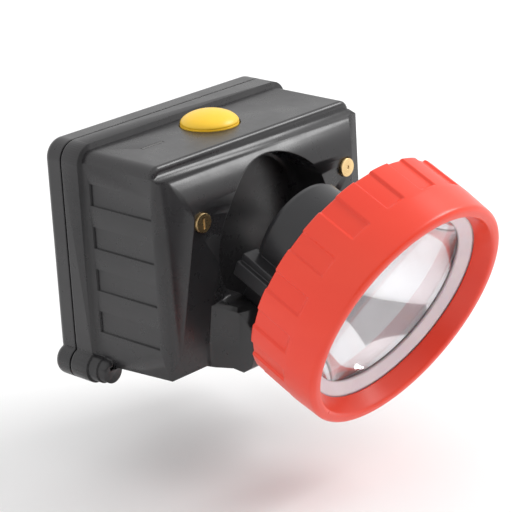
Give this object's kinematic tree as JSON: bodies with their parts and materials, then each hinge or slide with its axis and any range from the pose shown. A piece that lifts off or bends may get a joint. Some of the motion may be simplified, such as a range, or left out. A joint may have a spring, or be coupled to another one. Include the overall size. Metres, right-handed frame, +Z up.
{
  "type": "miner's cap lamp",
  "caption": "Cordless cap lamp: black battery housing with a rear cap hook and top push button, and a round red-ringed lamp head on a tilting hinge.",
  "frame": {"origin": "centre of the rear cover's flat back face, where the lamp lies against the cap", "axes": "+Z up, -Y forward (the beam's side), +X to the wearer's left"},
  "size_m": [0.081, 0.1075, 0.0723],
  "materials": {
    "black_plastic": "satin moulded",
    "head_plastic": "satin moulded",
    "black_rubber": "matt",
    "spring_steel": "satin",
    "screw_steel": "bright zinc",
    "brass": "satin turned",
    "tinned_tag": "tinned",
    "yellow_rubber": "satin",
    "white_plastic": "satin",
    "switch_plastic": "matt",
    "board_green": "lacquered",
    "chip_black": "matt",
    "ferrite": "matt",
    "light_chip": "clear cast",
    "smoked_window": "gloss",
    "cell_wrap": "shrink film",
    "saddle_plastic": "satin",
    "foam": "open foam",
    "nickel": "rolled",
    "pin_steel": "turned",
    "red_plastic": "satin moulded",
    "clear_lens": "clear",
    "white_rubber": "translucent satin",
    "mirror_coat": "vacuum metallised",
    "aluminium": "turned",
    "board_white": "lacquered",
    "emitter": "clear dome over yellow phosphor",
    "lead_black": "insulated",
    "lead_red": "insulated"
  },
  "bodies": {
    "housing": {"front_shell": "black_plastic", "rear_cover": "black_plastic", "cover_seal": "black_rubber", "cap_hook": "spring_steel", "cover_screws": "screw_steel", "hook_screws": "screw_steel", "board_screws": "screw_steel", "contact_pin_left": "brass", "contact_pin_right": "brass", "contact_nut_left": "brass", "contact_nut_right": "brass", "solder_tag_left": "tinned_tag", "solder_tag_right": "tinned_tag", "push_switch": "switch_plastic", "circuit_board": "board_green", "driver_chip": "chip_black", "driver_coil": "ferrite", "charge_light": "light_chip", "charge_window": "smoked_window", "battery_cell": "cell_wrap", "cell_saddle_left": "saddle_plastic", "cell_saddle_right": "saddle_plastic", "cell_pad_left": "foam", "cell_pad_right": "foam", "cell_tab_left": "nickel", "cell_tab_right": "nickel", "hinge_pin": "pin_steel", "hinge_washer_left": "pin_steel", "hinge_washer_right": "pin_steel", "cell_lead_left": "lead_black", "cell_lead_right": "lead_red", "contact_lead_left": "lead_black", "contact_lead_right": "lead_red", "lamp_lead_left": "lead_black", "lamp_lead_right": "lead_red"},
    "button": {"switch_button": "yellow_rubber", "switch_plunger": "white_plastic"},
    "head": {"head_shell": "head_plastic", "reflector": "mirror_coat", "heat_slug": "aluminium", "led_board": "board_white", "led_emitter": "emitter", "head_ring": "black_rubber", "head_lead_left": "lead_black", "head_lead_right": "lead_red"},
    "bezel": {"bezel_ring": "red_plastic"},
    "lens_carrier": {"lens": "clear_lens", "lens_seal": "white_rubber"}
  },
  "joints": [
    {"name": "head_tilt", "type": "hinge", "parent": "housing", "child": "head", "pos_m": [0, -0.0425, -0.0215], "axis": [1, 0, 0], "range_deg": [-25, 45]},
    {"name": "button_press", "type": "slide", "parent": "housing", "child": "button", "axis": [0, 0, -1], "range_m": [0, 0.0012], "stiffness_N_per_m": 2500, "springref_m": -0.0004},
    {"name": "lens_lift", "type": "slide", "parent": "head", "child": "lens_carrier", "axis": [0, -0.9063, -0.4226], "range_m": [0, 0.00375]},
    {"name": "bezel_turn", "type": "hinge", "parent": "lens_carrier", "child": "bezel", "pos_m": [0, -0.08614, -0.01073], "axis": [0, -0.9063, -0.4226], "range_deg": [0, 541]}
  ],
  "couplings": [
    {"joint": "bezel_turn", "follows": "lens_lift", "rad_per_m": 2513.3}
  ]
}
